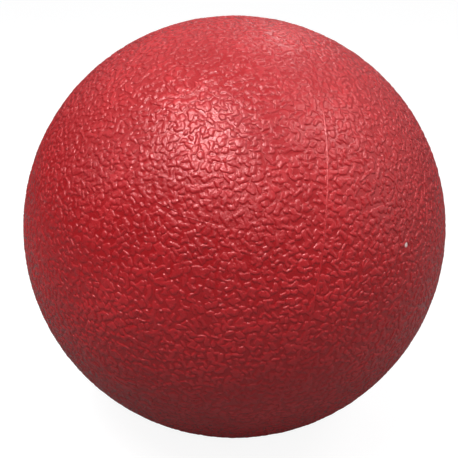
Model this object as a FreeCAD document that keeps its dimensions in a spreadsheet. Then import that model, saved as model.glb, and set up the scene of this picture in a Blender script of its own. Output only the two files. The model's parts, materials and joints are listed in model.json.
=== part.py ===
import FreeCAD, Part

# An inflated rubber dodgeball with a moulded cover over a wound carcass, a bladder and a
# self-sealing needle valve. Millimetres, +Z up as the ball lies, origin at the ball's centre.

import math
import os

import Sketcher
from FreeCAD import Placement, Rotation, Vector

os.makedirs("parts", exist_ok=True)
doc = FreeCAD.newDocument("Dodgeball")

# Driving sizes: millimetres, and degrees for the one angle.
SIZES = (
    ("ball_radius", 108.0, "centre to the tops of the cover's pebbles"),
    ("cover_wall", 1.3, "cover rubber, tops of the pebbles to its inside"),
    ("winding_wall", 0.7, "nylon thread and latex over the bladder"),
    ("bladder_wall", 0.7, "butyl bladder"),
    ("bond_film", 0.05, "rubber cement between bonded pieces"),
    ("grain_depth", 0.4, "tops of the pebbles to the bare moulded level"),
    ("land_width", 0.5, "bare strip on each side of the parting line"),
    ("land_depth", 0.2, "that strip below the tops of the pebbles"),
    ("valve_dip", 12.0, "valve axis below the horizontal, in degrees"),
    ("bare_radius", 11.0, "bare disc of the cover round the valve"),
    ("patch_radius", 30.0, "valve patch, to its rim"),
    ("patch_wall", 0.3, "valve patch"),
    ("neck_radius", 6.0, "valve boot where it passes out through the plies"),
    ("hub_radius", 5.6, "valve boot below its flange"),
    ("hub_end_radius", 4.8, "valve boot at its inner end"),
    ("lip_wall", 1.4, "floor of the boot, with the air hole in it"),
    ("air_hole_radius", 1.8, "hole in the boot's floor"),
    ("flange_radius", 18.0, "boot flange bonded to the bladder's inside"),
    ("flange_wall", 1.4, "boot flange at the hub"),
    ("flange_rim", 0.5, "boot flange at its rim"),
    ("flange_fillet", 1.8, "flange to hub"),
    ("plug_clearance", 0.05, "valve insert to the boot, all round"),
    ("head_radius", 4.4, "head of the valve insert"),
    ("head_height", 1.3, "head of the valve insert"),
    ("head_round", 0.25, "rounded rim of the head"),
    ("shank_radius", 3.6, "tapered shank just below the head"),
    ("shank_end_radius", 2.7, "tapered shank at its inner end"),
    ("shank_length", 16.5, "tapered shank"),
    ("shank_round", 0.8, "rounded inner end of the shank"),
    ("needle_radius", 1.1, "guide bore for the inflating needle"),
    ("needle_depth", 7.5, "guide bore, from the head's face"),
    ("mouth_radius", 1.6, "countersunk mouth of the guide bore"),
    ("mouth_depth", 0.5, "countersunk mouth of the guide bore"),
    ("slit_length", 2.0, "sealing slit below the guide bore, across"),
    ("slit_gap", 0.16, "sealing slit, as cut by the blade"),
)
sheet = doc.addObject("Spreadsheet::Sheet", "Sizes")
for row, (name, number, meaning) in enumerate(SIZES, start=1):
    sheet.set(f"A{row}", meaning)
    sheet.set(f"B{row}", str(number))
    sheet.setAlias(f"B{row}", name)
doc.recompute()

# Levels that follow from the sizes. Each ply lies on the one inside it with a film of cement
# between, and the valve is stacked down from the neck's flat end. "Above" is outward along
# the valve's axis, and a level is measured from the ball's centre. What cuts through the
# wall runs past the cover.
LEVELS = (
    ("cover_inside", "Sizes.ball_radius - Sizes.cover_wall"),
    ("winding_outside", "Levels.cover_inside - Sizes.bond_film"),
    ("winding_inside", "Levels.winding_outside - Sizes.winding_wall"),
    ("bladder_outside", "Levels.winding_inside - Sizes.bond_film"),
    ("bladder_inside", "Levels.bladder_outside - Sizes.bladder_wall"),
    ("patch_inside", "Levels.bladder_outside + Sizes.bond_film"),
    ("patch_outside", "Levels.patch_inside + Sizes.patch_wall"),
    ("patch_room", "Levels.patch_outside + Sizes.bond_film"),
    ("patch_room_radius", "Sizes.patch_radius + Sizes.bond_film"),
    ("neck_hole_radius", "Sizes.neck_radius + Sizes.bond_film"),
    ("bare_level", "Sizes.ball_radius - Sizes.grain_depth"),
    ("land_level", "Sizes.ball_radius - Sizes.land_depth"),
    ("flange_level", "Levels.bladder_inside - Sizes.bond_film"),
    ("valve_top", "sqrt(Levels.bare_level ^ 2 - Sizes.neck_radius ^ 2)"),
    ("mouth_floor", "Levels.valve_top - Sizes.mouth_depth"),
    ("needle_floor", "Levels.valve_top - Sizes.needle_depth"),
    ("head_seat", "Levels.valve_top - Sizes.head_height"),
    ("head_room_radius", "Sizes.head_radius + Sizes.plug_clearance"),
    ("shank_room_radius", "Sizes.shank_radius + Sizes.plug_clearance"),
    ("shank_end_room_radius", "Sizes.shank_end_radius + Sizes.plug_clearance"),
    ("shank_end", "Levels.head_seat - Sizes.shank_length"),
    ("boot_floor", "Levels.shank_end - Sizes.plug_clearance"),
    ("boot_end", "Levels.boot_floor - Sizes.lip_wall"),
    ("flange_root", "sqrt(Levels.flange_level ^ 2 - Sizes.hub_radius ^ 2) - Sizes.flange_wall"),
    ("flange_edge", "sqrt(Levels.flange_level ^ 2 - Sizes.flange_radius ^ 2)"),
    ("flange_rim_floor", "Levels.flange_edge - Sizes.flange_rim"),
    ("neck_foot", "sqrt(Levels.flange_level ^ 2 - Sizes.neck_radius ^ 2)"),
    ("past_cover", "Sizes.ball_radius + Sizes.cover_wall"),
)
levels = doc.addObject("App::VarSet", "Levels")
for name, formula in LEVELS:
    levels.addProperty("App::PropertyFloat", name, "Levels")
    levels.setExpression(name, formula)
doc.recompute()

# Two measures nearer than this, in millimetres, are the same place.
SAME_PLACE = 1e-3

# A sketch's numbers for a curve's own points, and for its origin and its vertical axis.
START, END, CENTRE = 1, 2, 3
ORIGIN, VERTICAL_AXIS = -1, -2


def number(name):
    """The present value of a size or a level named as in an expression."""
    owner, key = name.split(".")
    return float(getattr(doc.getObject(owner), key))


def turn_to_valve(piece):
    """Lay a piece built about +Z along the valve's axis, which leaves the ball towards +X."""
    piece.Placement = Placement(Vector(0, 0, 0), Rotation(Vector(0, 1, 0), 90))
    piece.setExpression("Placement.Rotation.Angle", "90 + Sizes.valve_dip")


def sphere(name, radius, low=-90, high=90):
    """A ball about the centre, or the part of it between two latitudes."""
    ball = doc.addObject("Part::Sphere", name)
    ball.setExpression("Radius", radius)
    ball.Angle1 = low
    ball.Angle2 = high
    return ball


def cylinder(name, radius, length, start="0"):
    """A cylinder about the valve's axis, from a start level outward."""
    rod = doc.addObject("Part::Cylinder", name)
    rod.setExpression("Radius", radius)
    rod.setExpression("Height", length)
    rod.setExpression("Placement.Base.z", start)
    return rod


def combine(kind, name, base, tool):
    """Part::Cut or Part::Common of two objects."""
    result = doc.addObject(kind, name)
    result.Base = base
    result.Tool = tool
    return result


def shell(name, outside, inside, low=-90, high=90):
    """A hollow ball, or the part of it between two latitudes."""
    outer = sphere(name + "_outer", outside, low, high)
    inner = sphere(name + "_inner", inside)
    return combine("Part::Cut", name + "_shell", outer, inner)


def named(piece, label):
    """Finish a sub-part: its label is its file's name."""
    piece.Label = label
    turn_to_valve(piece)
    return piece


def origin_plane(body, role):
    """One of a body's own origin planes."""
    return next(f for f in body.Origin.OriginFeatures if f.Role == role)


def profile(body, name, corners, round_edges=()):
    """A closed sketch on the body's XZ plane, x from the axis and y along it.

    Each corner is (label, x, y) with the names of its size and level. A corner with no x
    lies on the axis. The edge that leaves a corner listed in round_edges is an arc about
    the ball's centre: (corner, level), and both its ends take their height from the arc.
    """
    sketch = body.newObject("Sketcher::SketchObject", name)
    sketch.AttachmentSupport = [(origin_plane(body, "XZ_Plane"), "")]
    sketch.MapMode = "FlatFace"
    arcs = dict(round_edges)
    points = [Vector(number(x) if x else 0, number(y), 0) for _, x, y in corners]
    on_arc = set()
    for i, (label, _, _) in enumerate(corners):
        start, end = points[i], points[(i + 1) % len(points)]
        if label in arcs:
            circle = Part.Circle(Vector(0, 0, 0), Vector(0, 0, 1), number(arcs[label]))
            angles = [math.atan2(p.y, p.x) for p in (start, end)]
            sketch.addGeometry(Part.ArcOfCircle(circle, min(angles), max(angles)))
            on_arc |= {label, corners[(i + 1) % len(corners)][0]}
        else:
            sketch.addGeometry(Part.LineSegment(start, end))
    # an arc runs anticlockwise, so where the outline runs clockwise its ends are swapped
    ends = []
    for i, (label, _, _) in enumerate(corners):
        edge = sketch.Geometry[i]
        swapped = label in arcs and edge.StartPoint.distanceToPoint(points[i]) > SAME_PLACE
        ends.append((END, START) if swapped else (START, END))
    for i in range(len(corners)):
        after = (i + 1) % len(corners)
        sketch.addConstraint(
            Sketcher.Constraint("Coincident", i, ends[i][1], after, ends[after][0])
        )
    for i, (label, x, y) in enumerate(corners):
        if x:
            bind(sketch, "DistanceX", label + "_x", i, ends[i][0], x)
        else:
            on_axis = Sketcher.Constraint("PointOnObject", i, ends[i][0], VERTICAL_AXIS)
            sketch.addConstraint(on_axis)
        if label not in on_arc:
            bind(sketch, "DistanceY", label + "_y", i, ends[i][0], y)
        if label in arcs:
            centred = Sketcher.Constraint("Coincident", i, CENTRE, ORIGIN, START)
            sketch.addConstraint(centred)
            radius = Sketcher.Constraint("Radius", i, number(arcs[label]))
            place = sketch.addConstraint(radius)
            sketch.renameConstraint(place, label + "_radius")
            sketch.setExpression(f"Constraints.{label}_radius", arcs[label])
    return sketch


def bind(sketch, kind, label, edge, end, size):
    """Set a sketch point's distance from the origin, along x or y, to a size or level."""
    distance = Sketcher.Constraint(kind, ORIGIN, START, edge, end, number(size))
    place = sketch.addConstraint(distance)
    sketch.renameConstraint(place, label)
    sketch.setExpression(f"Constraints.{label}", size)


def revolve(body, sketch):
    """Turn a profile about the body's Z axis, which is the sketch's vertical axis."""
    turned = body.newObject("PartDesign::Revolution", sketch.Name + "_turned")
    turned.Profile = sketch
    turned.ReferenceAxis = (sketch, ["V_Axis"])
    turned.Angle = 360
    sketch.Visibility = False
    doc.recompute()
    return turned


def circle_edges(feature, radius, level):
    """The names of a feature's round edges of that radius at that level."""
    found = []
    for i, edge in enumerate(feature.Shape.Edges, start=1):
        curve = edge.Curve
        if not isinstance(curve, Part.Circle):
            continue
        off = max(abs(curve.Radius - radius), abs(curve.Center.z - level))
        if off < SAME_PLACE:
            found.append(f"Edge{i}")
    return found


def fillet(body, feature, radius, level, size):
    """Round a turned feature's circular edge at one radius and level."""
    edges = circle_edges(feature, number(radius), number(level))
    rounded = body.newObject("PartDesign::Fillet", f"{feature.Name}_round")
    rounded.Base = (feature, edges)
    rounded.setExpression("Radius", size)
    doc.recompute()
    return rounded


def covers():
    """The cover: two moulded rubber hemispheres that meet at the parting line.

    The mould leaves a bare strip without pebbles on each side of that line. The half round
    the valve also has a bare disc and the hole that the valve boot's neck fills.
    """
    land = combine(
        "Part::Cut",
        "parting_land",
        cylinder("land_outer", "Levels.past_cover", "2 * Sizes.land_width", "-Sizes.land_width"),
        cylinder("land_inner", "Levels.land_level", "2 * Sizes.land_width", "-Sizes.land_width"),
    )
    plain = shell("plain", "Sizes.ball_radius", "Levels.cover_inside", high=0)
    plain = combine("Part::Cut", "plain_half", plain, land)

    bare = combine(
        "Part::Cut",
        "bare_disc",
        cylinder("bare_outer", "Sizes.bare_radius", "Levels.past_cover"),
        sphere("bare_floor", "Levels.bare_level"),
    )
    hole = cylinder("cover_hole", "Levels.neck_hole_radius", "Levels.past_cover")
    valved = shell("valved", "Sizes.ball_radius", "Levels.cover_inside", low=0)
    valved = combine("Part::Cut", "valved_land", valved, land)
    valved = combine("Part::Cut", "valved_disc", valved, bare)
    valved = combine("Part::Cut", "valved_half", valved, hole)
    return [named(plain, "cover_plain_half"), named(valved, "cover_valve_half")]


def winding():
    """The carcass: nylon thread wound round the bladder in every direction, set in latex.

    It is one closed layer with a hole for the valve, thinner where it passes over the patch.
    """
    layer = shell("winding", "Levels.winding_outside", "Levels.winding_inside")
    room = combine(
        "Part::Common",
        "patch_room",
        sphere("patch_room_level", "Levels.patch_room"),
        cylinder("patch_room_rim", "Levels.patch_room_radius", "Sizes.ball_radius"),
    )
    layer = combine("Part::Cut", "winding_over_patch", layer, room)
    hole = cylinder("winding_hole", "Levels.neck_hole_radius", "Levels.past_cover")
    return [named(combine("Part::Cut", "winding_layer", layer, hole), "winding")]


def bladder():
    """The air-tight butyl bladder, with the hole that the valve boot's neck passes through."""
    ball = shell("bladder", "Levels.bladder_outside", "Levels.bladder_inside")
    hole = cylinder("bladder_hole", "Levels.neck_hole_radius", "Levels.past_cover")
    return [named(combine("Part::Cut", "bladder_ball", ball, hole), "bladder")]


def valve_patch():
    """A ring of rubberised fabric over the bladder that spreads the valve's load."""
    cap = shell("patch", "Levels.patch_outside", "Levels.patch_inside", low=0)
    ring = combine(
        "Part::Cut",
        "patch_ring",
        cylinder("patch_rim", "Sizes.patch_radius", "Levels.past_cover"),
        cylinder("patch_hole", "Levels.neck_hole_radius", "Levels.past_cover"),
    )
    return [named(combine("Part::Common", "patch_cap", cap, ring), "valve_patch")]


def valve_boot():
    """The moulded butyl housing of the valve.

    Its thin flange is bonded to the inside of the bladder, where the air presses it on. Its
    neck ends flush with the cover's bare disc, and its tapered bore holds the insert.
    """
    body = doc.addObject("PartDesign::Body", "boot")
    corners = (
        ("mouth", "Levels.head_room_radius", "Levels.valve_top"),
        ("rim", "Sizes.neck_radius", "Levels.valve_top"),
        ("foot", "Sizes.neck_radius", "Levels.neck_foot"),
        ("edge", "Sizes.flange_radius", "Levels.flange_edge"),
        ("edge_floor", "Sizes.flange_radius", "Levels.flange_rim_floor"),
        ("root", "Sizes.hub_radius", "Levels.flange_root"),
        ("end", "Sizes.hub_end_radius", "Levels.boot_end"),
        ("air_end", "Sizes.air_hole_radius", "Levels.boot_end"),
        ("air_top", "Sizes.air_hole_radius", "Levels.boot_floor"),
        ("floor", "Levels.shank_end_room_radius", "Levels.boot_floor"),
        ("taper", "Levels.shank_room_radius", "Levels.head_seat"),
        ("seat", "Levels.head_room_radius", "Levels.head_seat"),
    )
    outline = profile(body, "boot_outline", corners, [("foot", "Levels.flange_level")])
    turned = revolve(body, outline)
    fillet(body, turned, "Sizes.hub_radius", "Levels.flange_root", "Sizes.flange_fillet")
    return [named(body, "valve_boot")]


def valve_insert():
    """The self-sealing rubber insert, which pulls out of the boot to be replaced.

    A needle enters the countersunk mouth, is guided by the bore, and spreads the slit that
    a blade has cut through the solid tip. Without it, the squeezed tip holds the slit shut.
    """
    body = doc.addObject("PartDesign::Body", "insert")
    corners = (
        ("mouth", "Sizes.mouth_radius", "Levels.valve_top"),
        ("head", "Sizes.head_radius", "Levels.valve_top"),
        ("head_foot", "Sizes.head_radius", "Levels.head_seat"),
        ("shank", "Sizes.shank_radius", "Levels.head_seat"),
        ("tip", "Sizes.shank_end_radius", "Levels.shank_end"),
        ("tip_centre", None, "Levels.shank_end"),
        ("needle_centre", None, "Levels.needle_floor"),
        ("needle_floor", "Sizes.needle_radius", "Levels.needle_floor"),
        ("needle_mouth", "Sizes.needle_radius", "Levels.mouth_floor"),
    )
    turned = revolve(body, profile(body, "insert_outline", corners))
    head = fillet(body, turned, "Sizes.head_radius", "Levels.valve_top", "Sizes.head_round")
    tip = fillet(body, head, "Sizes.shank_end_radius", "Levels.shank_end", "Sizes.shank_round")

    slit = body.newObject("Sketcher::SketchObject", "slit_outline")
    slit.AttachmentSupport = [(origin_plane(body, "XY_Plane"), "")]
    slit.MapMode = "FlatFace"
    slit.setExpression("AttachmentOffset.Base.z", "Levels.needle_floor")
    half_length = number("Sizes.slit_length") / 2
    half_gap = number("Sizes.slit_gap") / 2
    turns = ((-1, -1), (1, -1), (1, 1), (-1, 1))
    points = [Vector(x * half_length, y * half_gap, 0) for x, y in turns]
    for i in range(4):
        slit.addGeometry(Part.LineSegment(points[i], points[(i + 1) % 4]))
    for i in range(4):
        slit.addConstraint(Sketcher.Constraint("Coincident", i, END, (i + 1) % 4, START))
    for i, kind in enumerate(("Horizontal", "Vertical", "Horizontal", "Vertical")):
        slit.addConstraint(Sketcher.Constraint(kind, i))
    slit.addConstraint(Sketcher.Constraint("Symmetric", 0, START, 1, END, ORIGIN, START))
    for label, edge in (("slit_length", 0), ("slit_gap", 1)):
        size = Sketcher.Constraint("Distance", edge, number("Sizes." + label))
        slit.renameConstraint(slit.addConstraint(size), label)
        slit.setExpression(f"Constraints.{label}", "Sizes." + label)
    doc.recompute()

    cut = body.newObject("PartDesign::Pocket", "slit")
    cut.Profile = slit
    cut.Type = "ThroughAll"
    slit.Visibility = False
    doc.recompute()
    removed = tip.Shape.Volume - cut.Shape.Volume
    core = number("Levels.needle_floor") - number("Levels.shank_end")
    print(f"slit removes {removed:.3f} mm3, core {core:.2f} mm long")
    if removed <= 0:
        raise ValueError("the slit cuts nothing")
    return [named(body, "valve_insert")]


pieces = covers() + winding() + bladder() + valve_patch() + valve_boot() + valve_insert()
doc.recompute()

for item in doc.Objects:
    if "Invalid" in item.State or "Error" in item.State:
        raise ValueError(f"{item.Label} failed: {item.State}")
for piece in pieces:
    shape = piece.Shape
    if shape.isNull() or not shape.isValid() or len(shape.Solids) != 1:
        raise ValueError(f"{piece.Label} is not one valid solid")
for piece in pieces:
    piece.Shape.exportStep(f"parts/{piece.Label}.step")
    box = piece.Shape.BoundBox
    print(
        f"{piece.Label}: {piece.Shape.Volume:.1f} mm3, "
        f"x {box.XMin:.2f} {box.XMax:.2f}, y {box.YMin:.2f} {box.YMax:.2f}, "
        f"z {box.ZMin:.2f} {box.ZMax:.2f}"
    )
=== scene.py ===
import json
import math

import bpy
import numpy as np
from mathutils import Matrix, Vector


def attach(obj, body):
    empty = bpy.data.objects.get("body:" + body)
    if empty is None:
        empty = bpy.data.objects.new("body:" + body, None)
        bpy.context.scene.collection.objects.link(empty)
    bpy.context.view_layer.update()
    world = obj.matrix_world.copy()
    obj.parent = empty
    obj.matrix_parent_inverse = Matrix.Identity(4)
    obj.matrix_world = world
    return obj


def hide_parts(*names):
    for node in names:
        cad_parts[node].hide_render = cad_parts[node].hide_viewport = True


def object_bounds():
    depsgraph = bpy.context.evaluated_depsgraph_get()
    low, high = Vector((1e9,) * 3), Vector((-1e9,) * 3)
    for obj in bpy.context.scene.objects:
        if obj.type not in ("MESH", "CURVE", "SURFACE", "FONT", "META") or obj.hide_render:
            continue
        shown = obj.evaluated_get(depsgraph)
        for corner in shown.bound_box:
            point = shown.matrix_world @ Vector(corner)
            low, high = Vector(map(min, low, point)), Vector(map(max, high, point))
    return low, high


# A red rubber dodgeball: a pebbled cover moulded over a thread-wound carcass, a bladder and
# a needle valve. Lengths are in metres unless a name ends in mm.

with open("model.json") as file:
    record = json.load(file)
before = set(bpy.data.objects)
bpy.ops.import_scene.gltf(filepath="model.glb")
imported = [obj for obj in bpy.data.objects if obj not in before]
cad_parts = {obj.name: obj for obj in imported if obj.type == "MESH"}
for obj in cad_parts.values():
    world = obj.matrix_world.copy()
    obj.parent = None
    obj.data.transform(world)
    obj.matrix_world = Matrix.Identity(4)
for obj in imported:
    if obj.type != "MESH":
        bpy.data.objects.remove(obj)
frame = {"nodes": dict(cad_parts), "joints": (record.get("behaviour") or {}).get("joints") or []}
cad_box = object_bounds()

# ---- The photograph's view ----
# The ball is seen from a little above, from a hand's reach away, so that it nearly fills the
# square picture. It lies a touch right of the picture's middle and above it.
BALL_RADIUS = 0.108
VIEW_AZIMUTH = math.radians(-17)
VIEW_ELEVATION = math.radians(20)
VIEW_DISTANCE = 4 * BALL_RADIUS
PICTURE_PX = 458
BALL_PX = 211.4  # the ball's radius in the picture
BALL_RIGHT_PX, BALL_UP_PX = 5.4, 2.3  # its centre from the picture's middle
SENSOR_MM = 36

half_angle = math.asin(BALL_RADIUS / VIEW_DISTANCE)
half_view = math.tan(half_angle) * PICTURE_PX / 2 / BALL_PX

to_camera = Vector(
    (
        math.sin(VIEW_AZIMUTH) * math.cos(VIEW_ELEVATION),
        -math.cos(VIEW_AZIMUTH) * math.cos(VIEW_ELEVATION),
        math.sin(VIEW_ELEVATION),
    )
)
camera = bpy.data.objects.new("camera", bpy.data.cameras.new("camera"))
camera.data.sensor_width = SENSOR_MM
camera.data.lens = SENSOR_MM / 2 / half_view
camera.data.shift_x = -BALL_RIGHT_PX / PICTURE_PX
camera.data.shift_y = -BALL_UP_PX / PICTURE_PX
camera.location = VIEW_DISTANCE * to_camera
camera.rotation_euler = to_camera.to_track_quat("Z", "Y").to_euler()
bpy.context.collection.objects.link(camera)
bpy.context.scene.camera = camera

# ---- The studio ----
# A sheet of matt card lies under the ball. The ceiling is pale and evenly lit and the walls
# are dimmer. Lamps overhead put a glint on each pebble, and weak ones round it lift its edges.
FLOOR_SIZE = 12.0
FLOOR_HEX = "#7c7c7c"
FLOOR_TO_WHITE = 0.9  # how far the card is lifted to white where the camera sees it
CEILING_HEX = "#fbfcff"
CEILING_LIGHT = 0.48
WALL_LIGHT = 0.09  # the walls' light, as a share of the ceiling's
BRIGHT_WAY = (0.17, -0.03, 0.98)  # up, and a little towards the brighter wall on the right
WALL_END, CEILING_START = -0.12, 0.62  # how far that way the one ends and the other begins
WHITE = (1, 1, 1, 1)


def linear(colour):
    """An sRGB hex colour as Blender's linear red, green, blue and alpha."""
    parts = [int(colour[i : i + 2], 16) / 255 for i in (1, 3, 5)]
    curve = [p / 12.92 if p <= 0.04045 else ((p + 0.055) / 1.055) ** 2.4 for p in parts]
    return (*curve, 1.0)


def add(tree, kind, inputs=None, **settings):
    """Add a node with its settings, and each input's value or the output that feeds it."""
    node = tree.nodes.new(kind)
    for name, value in settings.items():
        setattr(node, name, value)
    for name, value in (inputs or {}).items():
        if isinstance(value, bpy.types.NodeSocket):
            tree.links.new(value, node.inputs[name])
        else:
            node.inputs[name].default_value = value
    return node


def new_material(name):
    """An empty material's node tree and the material."""
    material = bpy.data.materials.new(name)
    material.use_nodes = True
    material.node_tree.nodes.clear()
    return material, material.node_tree


def add_lamp(name, direction, distance, size, watts):
    """A square soft lamp that faces the ball from that side."""
    data = bpy.data.lights.new(name, "AREA")
    data.size = size
    data.energy = watts
    lamp = bpy.data.objects.new(name, data)
    side = Vector(direction).normalized()
    lamp.location = distance * side
    lamp.rotation_euler = side.to_track_quat("Z", "Y").to_euler()
    bpy.context.collection.objects.link(lamp)


add_lamp("lamp_overhead", (-0.35, -0.29, 0.89), 1.3, 0.6, 10.4)
add_lamp("bulb_overhead", (-0.35, -0.29, 0.89), 1.25, 0.12, 2.2)
add_lamp("lamp_overhead_right", (0.57, -0.26, 0.78), 1.3, 0.4, 3.2)
add_lamp("lamp_behind", (0.40, 0.56, 0.72), 1.4, 0.2, 1.2)
add_lamp("window_left", (-0.88, 0.16, 0.46), 1.6, 0.1, 1.0)
add_lamp("window_right", (0.90, -0.35, 0.25), 1.6, 1.0, 1.6)
add_lamp("lamp_in_front", (-0.14, -0.81, 0.565), 1.8, 0.4, 2.4)

world = bpy.data.worlds.new("room")
world.use_nodes = True
world.node_tree.nodes.clear()
tree = world.node_tree
rays = add(tree, "ShaderNodeLightPath")
way = add(tree, "ShaderNodeTexCoord").outputs["Generated"]
upward = add(
    tree, "ShaderNodeVectorMath", {0: way, 1: BRIGHT_WAY}, operation="DOT_PRODUCT"
).outputs["Value"]
room_light = add(
    tree,
    "ShaderNodeMapRange",
    {
        "Value": upward,
        "From Min": WALL_END,
        "From Max": CEILING_START,
        "To Min": WALL_LIGHT * CEILING_LIGHT,
        "To Max": CEILING_LIGHT,
    },
    interpolation_type="SMOOTHSTEP",
)
room = add(
    tree,
    "ShaderNodeBackground",
    {"Color": linear(CEILING_HEX), "Strength": room_light.outputs[0]},
)
white = add(tree, "ShaderNodeBackground", {"Color": WHITE, "Strength": 1.0})
seen = add(tree, "ShaderNodeMixShader", {0: rays.outputs["Is Camera Ray"]})
tree.links.new(room.outputs[0], seen.inputs[1])
tree.links.new(white.outputs[0], seen.inputs[2])
add(tree, "ShaderNodeOutputWorld", {"Surface": seen.outputs[0]})
bpy.context.scene.world = world
bpy.context.scene.view_settings.view_transform = "Standard"

material, tree = new_material("white_card")
rays = add(tree, "ShaderNodeLightPath")
card = add(tree, "ShaderNodeBsdfDiffuse", {"Color": linear(FLOOR_HEX)})
lifted = add(
    tree,
    "ShaderNodeMath",
    {0: rays.outputs["Is Camera Ray"], 1: FLOOR_TO_WHITE},
    operation="MULTIPLY",
)
glow = add(tree, "ShaderNodeEmission", {"Color": WHITE, "Strength": lifted.outputs[0]})
both = add(tree, "ShaderNodeAddShader", {0: card.outputs[0], 1: glow.outputs[0]})
add(tree, "ShaderNodeOutputMaterial", {"Surface": both.outputs[0]})

half = FLOOR_SIZE / 2
floor_mesh = bpy.data.meshes.new("floor")
floor_level = cad_box[0].z
corners = [(x * half, y * half, floor_level) for x, y in ((-1, -1), (1, -1), (1, 1), (-1, 1))]
floor_mesh.from_pydata(corners, [], [(0, 1, 2, 3)])
floor_mesh.materials.append(material)
floor = bpy.data.objects.new("floor", floor_mesh)
bpy.context.collection.objects.link(floor)

# ---- Bladder ----
# A hollow ball of black butyl rubber, which holds air better than any other, blown and cured
# in a mould. It is dusted with talc so that it doesn't stick to itself, and the talc leaves a
# patchy grey bloom over the fine pits of the mould.
MM = 0.001
BUTYL_HEX, TALC_HEX = "#1d1d1e", "#8b8883"
TALC_MM, PIT_MM = 26.0, 0.7  # the width of the talc's patches and of the mould's pits
THIN_DUST, THICK_DUST = 0.42, 0.7  # the levels of the noise where dust starts and is thickest


def dusty_rubber(name, hexes, dust, patch_mm, roughness, pit_mm, pit_depth_mm):
    """Black moulded rubber: satin where it is clean and matt under its dust or wear.

    hexes are the rubber's colour and the dust's, and dust is how much its thickest patches hide.
    """
    material, tree = new_material(name)
    place = add(tree, "ShaderNodeTexCoord").outputs["Object"]
    patches = add(
        tree,
        "ShaderNodeTexNoise",
        {"Vector": place, "Scale": 1 / (patch_mm * MM), "Detail": 6.0, "Roughness": 0.6},
    )
    dusted = add(
        tree,
        "ShaderNodeMapRange",
        {
            "Value": patches.outputs["Fac"],
            "From Min": THIN_DUST,
            "From Max": THICK_DUST,
            "To Max": dust,
        },
    )
    colour = add(
        tree,
        "ShaderNodeMix",
        {"Factor": dusted.outputs[0], 6: linear(hexes[0]), 7: linear(hexes[1])},
        data_type="RGBA",
    )
    matt = add(
        tree,
        "ShaderNodeMapRange",
        {
            "Value": dusted.outputs[0],
            "From Max": dust,
            "To Min": roughness[0],
            "To Max": roughness[1],
        },
    )
    pits = add(
        tree,
        "ShaderNodeTexNoise",
        {"Vector": place, "Scale": 1 / (pit_mm * MM), "Detail": 3.0},
    )
    relief = add(
        tree,
        "ShaderNodeBump",
        {"Height": pits.outputs["Fac"], "Distance": pit_depth_mm * MM},
    )
    rubber = add(
        tree,
        "ShaderNodeBsdfPrincipled",
        {
            "Base Color": colour.outputs[2],
            "Roughness": matt.outputs[0],
            "IOR": 1.5,
            "Normal": relief.outputs[0],
        },
    )
    add(tree, "ShaderNodeOutputMaterial", {"Surface": rubber.outputs[0]})
    return material


talced_butyl = dusty_rubber(
    "talced_butyl_rubber",
    hexes=(BUTYL_HEX, TALC_HEX),
    dust=0.5,
    patch_mm=TALC_MM,
    roughness=(0.45, 0.85),
    pit_mm=PIT_MM,
    pit_depth_mm=0.06,
)
frame["nodes"]["bladder"].material_slots[0].material = talced_butyl

# ---- Valve boot ----
# The housing of the needle valve, pressed in black natural rubber. Its flange is buffed and
# cemented inside the bladder, and the end of its neck shows in the cover's bare disc, where
# handling has greyed it a little.
BOOT_HEX, HANDLED_HEX = "#18181a", "#403f40"
HANDLED_MM, GRIT_MM = 5.0, 0.45  # the width of the greyed patches and of the mould's grit

pressed_rubber = dusty_rubber(
    "pressed_black_rubber",
    hexes=(BOOT_HEX, HANDLED_HEX),
    dust=1.0,
    patch_mm=HANDLED_MM,
    roughness=(0.42, 0.7),
    pit_mm=GRIT_MM,
    pit_depth_mm=0.05,
)
frame["nodes"]["valve_boot"].material_slots[0].material = pressed_rubber

# ---- Valve patch ----
# A ring of cotton cloth rubbed with rubber, cemented round the valve to spread its load. The
# cloth is a plain weave square to the valve's axis, with the rubber dark between its threads.
VALVE_AXIS = Vector(frame["joints"][0]["axis"])
VALVE_TURN = math.atan2(VALVE_AXIS.x, VALVE_AXIS.z)  # from +Z round to the valve, about Y
CLOTH_HEX, PROOFING_HEX = "#8d8064", "#3d362b"
WEAVE_MM = 1.6  # two threads, over and under: coarser than the real 0.8 mm, to show
WEAVE_DEPTH_MM = 0.15
SLUB_MM = 9.0  # the length over which the rubber lies thicker or thinner on the cloth

material, tree = new_material("rubberised_cotton")
place = add(tree, "ShaderNodeTexCoord").outputs["Object"]
flat = add(
    tree,
    "ShaderNodeVectorRotate",
    {"Vector": place, "Angle": -VALVE_TURN},
    rotation_type="Y_AXIS",
)
cloth = add(tree, "ShaderNodeSeparateXYZ", {"Vector": flat.outputs[0]})
threads = []
for direction in ("X", "Y"):
    turns = add(
        tree,
        "ShaderNodeMath",
        {0: cloth.outputs[direction], 1: 2 * math.pi / (WEAVE_MM * MM)},
        operation="MULTIPLY",
    )
    threads.append(add(tree, "ShaderNodeMath", {0: turns.outputs[0]}, operation="SINE"))
crossing = add(
    tree,
    "ShaderNodeMath",
    {0: threads[0].outputs[0], 1: threads[1].outputs[0]},
    operation="MULTIPLY",
)
raised = add(tree, "ShaderNodeMapRange", {"Value": crossing.outputs[0], "From Min": -1.0})
slubs = add(
    tree, "ShaderNodeTexNoise", {"Vector": place, "Scale": 1 / (SLUB_MM * MM), "Detail": 4.0}
)
bare = add(
    tree,
    "ShaderNodeMath",
    {0: raised.outputs[0], 1: slubs.outputs["Fac"]},
    operation="MULTIPLY",
)
colour = add(
    tree,
    "ShaderNodeMix",
    {"Factor": bare.outputs[0], 6: linear(PROOFING_HEX), 7: linear(CLOTH_HEX)},
    data_type="RGBA",
)
relief = add(tree, "ShaderNodeBump", {"Height": raised.outputs[0], "Distance": WEAVE_DEPTH_MM * MM})
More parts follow.
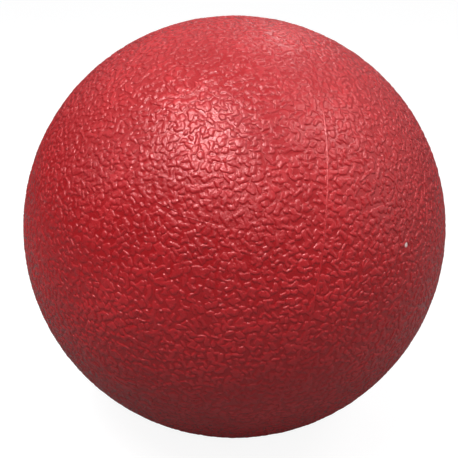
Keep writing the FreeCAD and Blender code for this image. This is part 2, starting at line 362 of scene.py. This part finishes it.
fabric = add(
    tree,
    "ShaderNodeBsdfPrincipled",
    {"Base Color": colour.outputs[2], "Roughness": 0.8, "IOR": 1.5, "Normal": relief.outputs[0]},
)
add(tree, "ShaderNodeOutputMaterial", {"Surface": fabric.outputs[0]})
frame["nodes"]["valve_patch"].material_slots[0].material = material

# ---- Winding ----
# The carcass that keeps the ball round: nylon thread dipped in latex and wound over the
# bladder in wraps that cross in every direction. The latex dries amber between the threads,
# whose backs stay pale and slightly furry.
WINDING_TOP_MM, WINDING_INSIDE_MM = 106.65, 105.95
NECK_HOLE_MM = 6.05
PATCH_HOLE_MM, PATCH_ROOM_MM = 30.05, 106.3  # the recess over the patch: radius and ceiling
WRAPS = 110
WRAP_THREADS = (3, 7)  # the fewest and the most threads side by side in one wrap
THREAD_MM = 2.4  # several times the real thread, to show
THREAD_DEPTH_MM = 0.3
WRAP_STRAY_MM = 4.0
WINDING_STEP_MM = 0.7
SMOOTH_STEP_MM = 2.2  # the mesh's spacing where a skin is smooth
WINDING_SEED = 5
SHARP_ANGLE = math.radians(70)  # a sharper bend than this between two faces shows as an edge
NYLON_HEX, LATEX_HEX = "#d8d1bb", "#b08a4c"
SOAKED_MM = 18.0  # the width of the patches that are wetter or drier with latex
FIBRE_MM, FIBRE_DEPTH_MM = 0.5, 0.06
BRINK_MM = 0.05  # half the gap between the two rings that make the recess's wall


def ring_counts(polars, radius_mm, step_mm):
    """How many vertices go in each ring about +Z, for a mesh of about that spacing."""
    lengths = 2 * math.pi * radius_mm * np.sin(polars)
    counts = 2 * np.maximum(6, np.round(lengths / step_mm / 2)).astype(int)
    return np.where(lengths > step_mm / 10, counts, 1)


def ring_directions(polars, counts):
    """The unit vector out to each vertex, and its bearing about +Z."""
    polar = np.repeat(polars, counts)
    bearing = np.concatenate([np.arange(count) / count for count in counts]) * 2 * math.pi
    flat = np.sin(polar)
    ways = np.stack((flat * np.cos(bearing), flat * np.sin(bearing), np.cos(polar)), 1)
    return ways, bearing


def zip_rings(start_a, count_a, start_b, count_b):
    """Triangles between two rings, each edge joined to the other ring's nearest vertex."""
    found = []
    if count_a > 1:
        i = np.arange(count_a)
        apex = -((count_a - (2 * i + 1) * count_b) // (2 * count_a)) % count_b
        found.append(np.stack((start_a + i, start_b + apex, start_a + (i + 1) % count_a), 1))
    if count_b > 1:
        j = np.arange(count_b)
        apex = ((2 * j + 1) * count_a + count_b) // (2 * count_b) % count_a
        found.append(np.stack((start_a + apex, start_b + j, start_b + (j + 1) % count_b), 1))
    return np.concatenate(found)


def skin_over(counts, bearing, islands):
    """Triangles over the rings, and where each corner goes in a flat map.

    Each island is a run of rings, the middle of its disc in the map and each ring's radius there.
    """
    first = np.concatenate(((0,), np.cumsum(counts)[:-1]))
    triangles, corners = [], []
    for rings, middle, radii in islands:
        for a, b, radius_a, radius_b in zip(rings, rings[1:], radii, radii[1:]):
            strip = zip_rings(first[a], counts[a], first[b], counts[b])
            on_b = (strip >= first[b]) & (strip < first[b] + counts[b])
            radius = np.where(on_b, radius_b, radius_a)
            angle = bearing[strip]
            spot = np.stack((radius * np.cos(angle), radius * np.sin(angle)), 2) + middle
            triangles.append(strip)
            corners.append(spot)
    return np.concatenate(triangles), np.concatenate(corners)


def disc_radii(polars, size):
    """A hemisphere's rings as circles in a flat disc that keeps their areas even."""
    return size * math.sqrt(2) * np.sin(polars / 2)


def add_skin(name, points, triangles, corners, material, turn):
    """A closed mesh from arrays in millimetres about +Z, turned into place."""
    mesh = bpy.data.meshes.new(name)
    mesh.vertices.add(len(points))
    mesh.vertices.foreach_set("co", (points * MM).astype(np.float32).ravel())
    mesh.loops.add(triangles.size)
    mesh.loops.foreach_set("vertex_index", triangles.astype(np.int32).ravel())
    mesh.polygons.add(len(triangles))
    mesh.polygons.foreach_set("loop_start", np.arange(0, triangles.size, 3, dtype=np.int32))
    mesh.update(calc_edges=True)
    mesh.transform(Matrix.Rotation(turn, 4, "Y"))
    mesh.shade_smooth()
    mesh.set_sharp_from_angle(angle=SHARP_ANGLE)
    flat_map = mesh.uv_layers.new(name="OFBake")
    flat_map.data.foreach_set("uv", corners.astype(np.float32).ravel())
    mesh.materials.append(material)
    piece = bpy.data.objects.new(name, mesh)
    bpy.context.collection.objects.link(piece)
    return piece


def lay_threads(points, rng):
    """How high the topmost thread stands at each point: 1 on its back, 0 in the latex."""
    height = np.zeros(len(points))
    for _ in range(WRAPS):
        across = rng.normal(size=3)
        across /= np.linalg.norm(across)
        count = rng.integers(*WRAP_THREADS, endpoint=True)
        beside = (points @ across + rng.uniform(-1, 1) * WRAP_STRAY_MM) / THREAD_MM + count / 2
        wrap = (beside > 0) & (beside < count)
        height[wrap] = np.sqrt(1 - (beside[wrap] % 1 * 2 - 1) ** 2)
    return height


quarter = math.pi / 2
neck_edge = math.asin(NECK_HOLE_MM / WINDING_TOP_MM)
steps = math.ceil((quarter - neck_edge) * WINDING_TOP_MM / WINDING_STEP_MM)
upper = np.linspace(neck_edge, quarter, steps, endpoint=False)
steps = math.ceil(quarter * WINDING_TOP_MM / WINDING_STEP_MM)
outside = np.concatenate((upper, np.linspace(quarter, math.pi, steps + 1)))
patch_edge = math.asin(PATCH_HOLE_MM / PATCH_ROOM_MM)
brink = BRINK_MM / PATCH_ROOM_MM
steps = math.ceil(quarter * WINDING_TOP_MM / SMOOTH_STEP_MM)
inside = np.concatenate(
    (
        np.linspace(math.pi, quarter, steps + 1),
        np.linspace(quarter, patch_edge + brink, steps)[1:],
        np.linspace(patch_edge - brink, math.asin(NECK_HOLE_MM / PATCH_ROOM_MM), steps // 4),
    )
)
polars = np.concatenate((outside, inside))
counts = np.concatenate(
    (
        ring_counts(outside, WINDING_TOP_MM, WINDING_STEP_MM),
        ring_counts(inside, WINDING_TOP_MM, SMOOTH_STEP_MM),
    )
)
ways, bearing = ring_directions(polars, counts)
outer = np.repeat(np.arange(len(polars)) < len(outside), counts)
threads = np.zeros(len(ways))
threads[outer] = lay_threads(ways[outer] * WINDING_TOP_MM, np.random.default_rng(WINDING_SEED))
inner_level = np.repeat(np.where(polars < patch_edge, PATCH_ROOM_MM, WINDING_INSIDE_MM), counts)
level = np.where(outer, WINDING_TOP_MM - THREAD_DEPTH_MM * (1 - threads), inner_level)

# The flat map: the neck's wall is a small ring in the middle, and the four hemispheres, of the
# outside and then the inside, are discs round it.
middle_out, last_out = len(upper), len(outside) - 1
middle_in, last_in = len(outside) + steps, len(polars) - 1
islands = [((last_in, 0), (0.5, 0.5), (0.08, 0.05))]
for first, last, pole, middle in (
    (0, middle_out, 0, (0.25, 0.75)),
    (middle_out, last_out, math.pi, (0.75, 0.75)),
    (last_out + 1, middle_in, math.pi, (0.75, 0.25)),
    (middle_in, last_in, 0, (0.25, 0.25)),
):
    rings = np.arange(first, last + 1)
    islands.append((rings, middle, disc_radii(np.abs(polars[rings] - pole), 0.245)))
triangles, corners = skin_over(counts, bearing, islands)

material, tree = new_material("latexed_nylon_thread")
place = add(tree, "ShaderNodeTexCoord").outputs["Object"]
height = add(tree, "ShaderNodeAttribute", attribute_name="thread").outputs["Fac"]
soaked = add(
    tree, "ShaderNodeTexNoise", {"Vector": place, "Scale": 1 / (SOAKED_MM * MM), "Detail": 5.0}
)
clean = add(
    tree,
    "ShaderNodeMapRange",
    {"Value": soaked.outputs["Fac"], "From Min": 0.3, "From Max": 0.7, "To Min": 0.35},
)
dry = add(tree, "ShaderNodeMath", {0: height, 1: clean.outputs[0]}, operation="MULTIPLY")
colour = add(
    tree,
    "ShaderNodeMix",
    {"Factor": dry.outputs[0], 6: linear(LATEX_HEX), 7: linear(NYLON_HEX)},
    data_type="RGBA",
)
matt = add(
    tree, "ShaderNodeMapRange", {"Value": dry.outputs[0], "To Min": 0.3, "To Max": 0.7}
)
fibres = add(
    tree, "ShaderNodeTexNoise", {"Vector": place, "Scale": 1 / (FIBRE_MM * MM), "Detail": 3.0}
)
relief = add(
    tree, "ShaderNodeBump", {"Height": fibres.outputs["Fac"], "Distance": FIBRE_DEPTH_MM * MM}
)
nylon = add(
    tree,
    "ShaderNodeBsdfPrincipled",
    {
        "Base Color": colour.outputs[2],
        "Roughness": matt.outputs[0],
        "IOR": 1.52,
        "Normal": relief.outputs[0],
    },
)
add(tree, "ShaderNodeOutputMaterial", {"Surface": nylon.outputs[0]})

points = ways * level[:, None]
piece = add_skin("wound_threads", points, triangles, corners, material, VALVE_TURN)
piece.data.attributes.new("thread", "FLOAT", "POINT")
piece.data.attributes["thread"].data.foreach_set("value", threads.astype(np.float32))
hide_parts("winding")
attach(piece, "ball")

# ---- Cover ----
# Two hemispheres of red natural rubber, cured over the winding in a hot two-part mould. The
# mould gives them a leather grain of rounded pebbles, a fine line of flash along the parting
# line, a bare disc round the valve and one small nib where it was vented.
COVER_TOP_MM, COVER_INSIDE_MM = 108.0, 106.7
GRAIN_DEPTH_MM = 0.4  # from the tops of the pebbles down to the valleys
PEBBLE_PITCH_MM = 3.1
PEBBLE_ROW = 0.9  # how far apart the rings of pebbles are, as a share of the pitch
PEBBLE_JITTER = 0.36  # how far a pebble strays from an even layout, as a share of the pitch
PEBBLE_RADIUS_MM = (1.0, 1.5)  # half the width of the narrowest and widest pebbles
PEBBLE_STRETCH_MM = 1.3  # half the straight middle of the longest ones
PEBBLE_THINNING = 0.25  # how much narrower a pebble is for each millimetre of stretch
PEBBLE_HEIGHT = (0.8, 1.0)  # the lowest and the highest tops, as a share of the grain's depth
MERGING = 9  # the higher, the closer two pebbles come before they run together
FOOT_MM, SHOULDER_MM = -0.12, 0.95  # where a dome starts and is full, in from a pebble's edge
BENDS_MM = ((0.45, 4.5), (0.12, 1.9))  # how far the edges wander, and over what length
RIPPLE_MM, SWELL_MM = (0.02, 3.4), (0.06, 9.0)  # the unevenness of the tops and of the skin
LAND_MM, LAND_DEPTH_MM = 0.35, 0.15  # the plain strip on each side of the parting line
FLASH_MM, FLASH_HEIGHT_MM = 0.22, 0.2  # the reach and the height of the flash on the line
FLASH_RUN_MM, FLASH_LOW, FLASH_FULL = 45.0, -0.6, 0.5  # how its height comes and goes along it
BARE_DISC_MM, BARE_DEPTH_MM, BARE_BRINK_MM = 11.0, 0.4, 0.6
NIB_WAY = Vector((0.454, -0.873, 0.178)).normalized()
NIB_TOP_MM, NIB_FOOT_MM = 0.39, 1.56  # the nib's radius at its top and at its foot
NIB_GLINT_MM = (0.65, 1.3)  # how far from its tip the pale colour starts to fade, and ends
NIB_SPOT_MM = 2.4  # the radius of the smooth spot below it
SCRATCHES = (  # where each fine scratch starts and ends, as ways out from the centre
    ((-0.538, -0.734, 0.415), (-0.459, -0.802, 0.383)),
    ((-0.476, -0.794, 0.379), (-0.325, -0.882, 0.341)),
)
SCRATCH_MM, SCRATCH_DEPTH_MM = 0.4, 0.1  # half the width of a scratch's lip, and its height
SCRATCH_FADE_MM = 2  # over which it dies out at its ends
SKIN_STEP_MM = 0.34  # the mesh's spacing over the grain
ROW_SHARE = 0.87  # the rows of a mesh of even triangles are this share of a side apart
LINE_STEP_MM = 0.13  # the mesh's spacing across the parting line
PLAIN_MM, SMOOTH_MM = 0.5, 1.0  # the distance into a pebble that plain and worn skin is given
# The valleys between the pebbles are a darker red: painted shade in the grooves.
RED_HEX, DEEP_RED_HEX, SHADED_VALLEY_HEX = "#c4242a", "#ae1c22", "#ae161c"
# The nib's tip is painted pale pink: a painted highlight for the glint on it.
NIB_GLINT_HEX = "#ffe4e0"
TINT_STOPS = (0.36, 0.64)  # the levels of the noise at the deeper red and at the other
CROWN_MM = (-0.05, 0.3)  # how far into a pebble the valley's colour ends and the top's starts
GLOSS_MM, ROUGHNESS = (0.2, 0.7), (0.16, 0.26)  # and where it turns from glossy to satin
BLOTCH_MM = 30.0  # the width of the patches of uneven tint
SPECKLE_MM, SPECKLE_DEPTH_MM = 0.9, 0.24  # the fine wrinkle on all of the skin
CROWN_DEPTH_MM = 0.1
SHEEN_HEX = "#ffc8c8"  # the tint of the gloss


def waves(points, wavelength, rng, count=7):
    """A smooth random field from -1 to 1 over points, as a sum of plane waves."""
    total = np.zeros(len(points))
    for _ in range(count):
        way = rng.normal(size=3)
        way *= 2 * math.pi / wavelength / np.linalg.norm(way) * rng.uniform(0.7, 1.4)
        total += np.sin(points @ way + rng.uniform(0, 2 * math.pi))
    return total / math.sqrt(count)


def rise(value, start, end):
    """A smooth rise from 0 at the start to 1 at the end."""
    share = np.clip((value - start) / (end - start), 0, 1)
    return share**2 * (3 - 2 * share)


def lay_pebbles(rng):
    """The pebbles in rings about the pole: each one's middle, the way it lies and its sizes."""
    step = PEBBLE_PITCH_MM * PEBBLE_ROW / COVER_TOP_MM
    counts, polar, around = [], [], []
    for ring in range(int(math.pi / 2 / step) + 4):
        angle = (ring + 0.5) * step
        count = max(3, round(2 * math.pi * math.sin(angle) * COVER_TOP_MM / PEBBLE_PITCH_MM))
        counts.append(count)
        strays = rng.uniform(-1, 1, (2, count)) * PEBBLE_JITTER
        around.append((np.arange(count) + strays[0]) * 2 * math.pi / count)
        polar.append(angle + strays[1] * step)
    counts = np.array(counts)
    first = np.concatenate(((0,), np.cumsum(counts)[:-1]))
    polar, around = np.concatenate(polar), np.concatenate(around)
    lies = rng.uniform(0, math.pi, len(polar))
    out = np.stack((np.cos(around), np.sin(around), np.zeros(len(polar))), 1)
    up = np.array((0, 0, 1))
    middle = np.sin(polar)[:, None] * out + np.cos(polar)[:, None] * up
    down = np.cos(polar)[:, None] * out - np.sin(polar)[:, None] * up
    way = np.cos(lies)[:, None] * down + np.sin(lies)[:, None] * np.cross(up, out)
    stretch = PEBBLE_STRETCH_MM * rng.uniform(0, 1, len(polar)) ** 2
    radius = rng.uniform(*PEBBLE_RADIUS_MM, len(polar)) - PEBBLE_THINNING * stretch
    height = rng.uniform(*PEBBLE_HEIGHT, len(polar))
    return step, counts, first, middle * COVER_TOP_MM, way, stretch, radius, height


def pebble_relief(points, rng):
    """How high each point stands, from 0 to 1, and how far in from a pebble's edge it is."""
    step, counts, first, middle, way, stretch, radius, height = lay_pebbles(rng)
    bent = points.copy()
    for reach, length in BENDS_MM:
        bent += reach * np.stack([waves(points, length, rng) for _ in range(3)], 1)
    bent *= (COVER_TOP_MM / np.linalg.norm(bent, axis=1))[:, None]
    polar = np.arccos(np.clip(bent[:, 2] / COVER_TOP_MM, -1, 1))
    around = np.arctan2(bent[:, 1], bent[:, 0])
    row = np.floor(polar / step).astype(int)
    total, top = np.zeros(len(points)), np.zeros(len(points))
    for up in (-2, -1, 0, 1, 2):
        ring = np.clip(row + up, 0, len(counts) - 1)
        here = np.round(around / (2 * math.pi) * counts[ring]).astype(int)
        for along in (-1, 0, 1):
            seed = first[ring] + (here + along) % counts[ring]
            off = bent - middle[seed]
            slid = np.clip((off * way[seed]).sum(1), -stretch[seed], stretch[seed])
            apart = np.linalg.norm(off - slid[:, None] * way[seed], axis=1)
            pull = np.where(row + up == ring, np.exp(MERGING * (radius[seed] - apart)), 0)
            total += pull
            top += pull * height[seed]
    inward = np.log(total) / MERGING
    domed = 1 - (1 - np.clip((inward - FOOT_MM) / (SHOULDER_MM - FOOT_MM), 0, 1)) ** 2
    return top / total * domed, inward


def cover_level(points, has_valve, nib, rng):
    """The skin's distance from the ball's centre, and how far each point is into a pebble."""
    tops, inward = pebble_relief(points, rng)
    level = COVER_TOP_MM - GRAIN_DEPTH_MM * (1 - tops)
    ripple = RIPPLE_MM[0] * (waves(points, RIPPLE_MM[1], rng) - 1) * tops
    level += ripple + SWELL_MM[0] * waves(points, SWELL_MM[1], rng)
    if nib:
        tip, spot = nib
        smooth = 1 - rise(np.linalg.norm(points - spot, axis=1), 0.5 * NIB_SPOT_MM, NIB_SPOT_MM)
        level += (COVER_TOP_MM - 0.5 * GRAIN_DEPTH_MM - level) * smooth
        inward += (SMOOTH_MM - inward) * smooth
        raised = 1 - rise(np.linalg.norm(points - tip, axis=1), NIB_TOP_MM, NIB_FOOT_MM)
        level = np.maximum(level, COVER_TOP_MM - GRAIN_DEPTH_MM * (1 - raised))
    squeezed = FLASH_HEIGHT_MM * rise(waves(points, FLASH_RUN_MM, rng), FLASH_LOW, FLASH_FULL)
    strip = COVER_TOP_MM - LAND_DEPTH_MM
    strip += squeezed * np.exp(-((points[:, 2] / FLASH_MM) ** 2))
    beside = rise(points[:, 2], LAND_MM, 2 * LAND_MM)
    level = strip + (level - strip) * beside
    inward = PLAIN_MM + (inward - PLAIN_MM) * beside
    if has_valve:
        from_valve = np.hypot(points[:, 0], points[:, 1])
        clear = rise(from_valve, BARE_DISC_MM, BARE_DISC_MM + BARE_BRINK_MM)
        bare = COVER_TOP_MM - BARE_DEPTH_MM
        level = bare + (level - bare) * clear
        inward = PLAIN_MM + (inward - PLAIN_MM) * clear
    return level, inward


material, tree = new_material("moulded_red_rubber")
place = add(tree, "ShaderNodeTexCoord").outputs["Object"]
inward = add(tree, "ShaderNodeAttribute", attribute_name="into_pebble_mm").outputs["Fac"]
crown = add(
    tree,
    "ShaderNodeMapRange",
    {"Value": inward, "From Min": CROWN_MM[0], "From Max": CROWN_MM[1]},
    interpolation_type="SMOOTHSTEP",
)
blotches = add(
    tree,
    "ShaderNodeTexNoise",
    {"Vector": place, "Scale": 1 / (BLOTCH_MM * MM), "Detail": 4.0, "Roughness": 0.65},
)
tint = add(tree, "ShaderNodeValToRGB", {"Fac": blotches.outputs["Fac"]})
for stop, position, red in zip(tint.color_ramp.elements, TINT_STOPS, (DEEP_RED_HEX, RED_HEX)):
    stop.position = position
    stop.color = linear(red)
# Painted shade: the valleys between the pebbles take the darker red, and the tops take the rubber's
# own tint.
colour = add(
    tree,
    "ShaderNodeMix",
    {"Factor": crown.outputs[0], 6: linear(SHADED_VALLEY_HEX), 7: tint.outputs[0]},
    data_type="RGBA",
)
nib_tip = NIB_WAY * COVER_TOP_MM
to_nib = add(
    tree, "ShaderNodeVectorMath", {0: place, 1: nib_tip * MM}, operation="DISTANCE"
)
# Painted highlight: the pale colour at the nib's tip stands in for its glint.
painted_glint = add(
    tree,
    "ShaderNodeMapRange",
    {
        "Value": to_nib.outputs["Value"],
        "From Min": NIB_GLINT_MM[0] * MM,
        "From Max": NIB_GLINT_MM[1] * MM,
        "To Min": 1.0,
        "To Max": 0.0,
    },
)
colour = add(
    tree,
    "ShaderNodeMix",
    {"Factor": painted_glint.outputs[0], 6: colour.outputs[2], 7: linear(NIB_GLINT_HEX)},
    data_type="RGBA",
)
matt = add(
    tree,
    "ShaderNodeMapRange",
    {
        "Value": inward,
        "From Min": GLOSS_MM[0],
        "From Max": GLOSS_MM[1],
        "To Min": ROUGHNESS[0],
        "To Max": ROUGHNESS[1],
    },
    interpolation_type="SMOOTHSTEP",
)
speckle = add(
    tree, "ShaderNodeTexNoise", {"Vector": place, "Scale": 1 / (SPECKLE_MM * MM), "Detail": 3.0}
)
wrinkle = add(
    tree,
    "ShaderNodeBump",
    {"Height": speckle.outputs["Fac"], "Distance": SPECKLE_DEPTH_MM * MM},
)
relief = add(
    tree,
    "ShaderNodeBump",
    {
        "Height": crown.outputs[0],
        "Distance": CROWN_DEPTH_MM * MM,
        "Normal": wrinkle.outputs[0],
    },
)
for ends in SCRATCHES:
    one_end, other_end = (Vector(end).normalized() for end in ends)
    across, middle = one_end.cross(other_end).normalized(), (one_end + other_end) / 2
    half_mm = (other_end - one_end).length / 2 * COVER_TOP_MM
    off = add(tree, "ShaderNodeVectorMath", {0: place, 1: across}, operation="DOT_PRODUCT")
    off = add(tree, "ShaderNodeMath", {0: off.outputs["Value"]}, operation="ABSOLUTE")
    along = add(
        tree,
        "ShaderNodeVectorMath",
        {0: place, 1: middle * COVER_TOP_MM * MM},
        operation="DISTANCE",
    )
    near, within = (
        add(
            tree,
            "ShaderNodeMapRange",
            {"Value": value, "From Min": far * MM, "From Max": close * MM},
        ).outputs[0]
        for value, far, close in (
            (off.outputs[0], SCRATCH_MM, 0.0),
            (along.outputs["Value"], half_mm, half_mm - SCRATCH_FADE_MM),
        )
    )
    lip = add(tree, "ShaderNodeMath", {0: near, 1: within}, operation="MULTIPLY")
    relief = add(
        tree,
        "ShaderNodeBump",
        {
            "Height": lip.outputs[0],
            "Distance": SCRATCH_DEPTH_MM * MM,
            "Normal": relief.outputs[0],
        },
    )
rubber = add(
    tree,
    "ShaderNodeBsdfPrincipled",
    {
        "Base Color": colour.outputs[2],
        "Roughness": matt.outputs[0],
        "IOR": 1.5,
        "Specular IOR Level": 1.0,
        "Specular Tint": linear(SHEEN_HEX),
        "Normal": relief.outputs[0],
    },
)
add(tree, "ShaderNodeOutputMaterial", {"Surface": rubber.outputs[0]})

for node, pole, seed in (("cover_valve_half", 1, 11), ("cover_plain_half", -1, 12)):
    rng = np.random.default_rng(seed)
    has_valve = pole > 0
    turn = math.atan2(pole * VALVE_AXIS.x, pole * VALVE_AXIS.z)
    hole = NECK_HOLE_MM if has_valve else 0.0
    brim, inner_brim = math.asin(hole / COVER_TOP_MM), math.asin(hole / COVER_INSIDE_MM)
    line = quarter - 3 * LAND_MM / COVER_TOP_MM
    steps = math.ceil((line - brim) * COVER_TOP_MM / (SKIN_STEP_MM * ROW_SHARE))
    fine_steps = math.ceil((quarter - line) * COVER_TOP_MM / LINE_STEP_MM)
    outside = np.concatenate(
        (
            np.linspace(brim, line, steps, endpoint=False),
            np.linspace(line, quarter, fine_steps + 1),
        )
    )
    steps = math.ceil((quarter - inner_brim) * COVER_INSIDE_MM / SMOOTH_STEP_MM)
    inside = np.linspace(quarter, inner_brim, steps)
    polars = np.concatenate((outside, inside))
    counts = np.concatenate(
        (
            ring_counts(outside, COVER_TOP_MM, SKIN_STEP_MM),
            ring_counts(inside, COVER_TOP_MM, SMOOTH_STEP_MM),
        )
    )
    ways, bearing = ring_directions(polars, counts)
    outer = np.repeat(np.arange(len(polars)) < len(outside), counts)

    nib = None
    if has_valve:
        upright = Matrix.Rotation(-turn, 3, "Y")
        nib = [upright @ tip for tip in (nib_tip, nib_tip - Vector((0, 0, 0.9 * NIB_SPOT_MM)))]
    level = np.full(len(ways), COVER_INSIDE_MM)
    into_pebble = np.full(len(ways), PLAIN_MM)
    level[outer], into_pebble[outer] = cover_level(
        ways[outer] * COVER_TOP_MM, has_valve, nib, rng
    )

    # The flat map: the pebbled outside is one large disc, with the inside, the parting face and
    # the neck's wall small in its corners.
    last_out, last_in = len(outside) - 1, len(polars) - 1
    skin, lining = np.arange(last_out + 1), np.arange(last_out + 1, last_in + 1)
    islands = [
        (skin, (0.5, 0.5), disc_radii(polars[skin], 0.495)),
        ((last_out, last_out + 1), (0.92, 0.08), (0.05, 0.07)),
        (lining, (0.08, 0.08), disc_radii(polars[lining], 0.07)),
    ]
    if has_valve:
        islands.append(((last_in, 0), (0.08, 0.92), (0.07, 0.05)))
    triangles, corners = skin_over(counts, bearing, islands)
    points = ways * level[:, None]
    piece = add_skin("pebbled_" + node, points, triangles, corners, material, turn)
    piece.data.attributes.new("into_pebble_mm", "FLOAT", "POINT")
    piece.data.attributes["into_pebble_mm"].data.foreach_set(
        "value", into_pebble.astype(np.float32)
    )
    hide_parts(node)
    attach(piece, "ball")

# ---- Valve insert ----
# The self-sealing plug that an inflating needle passes through, moulded in soft natural rubber
# and greased with silicone so that it slides into the boot. The grease keeps it darker and
# glossier than the boot round it.
PLUG_HEX, PLUG_WORN_HEX = "#101012", "#2b2a2b"
SMEAR_MM = 3.0  # the width of the patches where the grease is thin

greased_rubber = dusty_rubber(
    "greased_black_rubber",
    hexes=(PLUG_HEX, PLUG_WORN_HEX),
    dust=1.0,
    patch_mm=SMEAR_MM,
    roughness=(0.25, 0.5),
    pit_mm=GRIT_MM,
    pit_depth_mm=0.02,
)
frame["nodes"]["valve_insert"].material_slots[0].material = greased_rubber
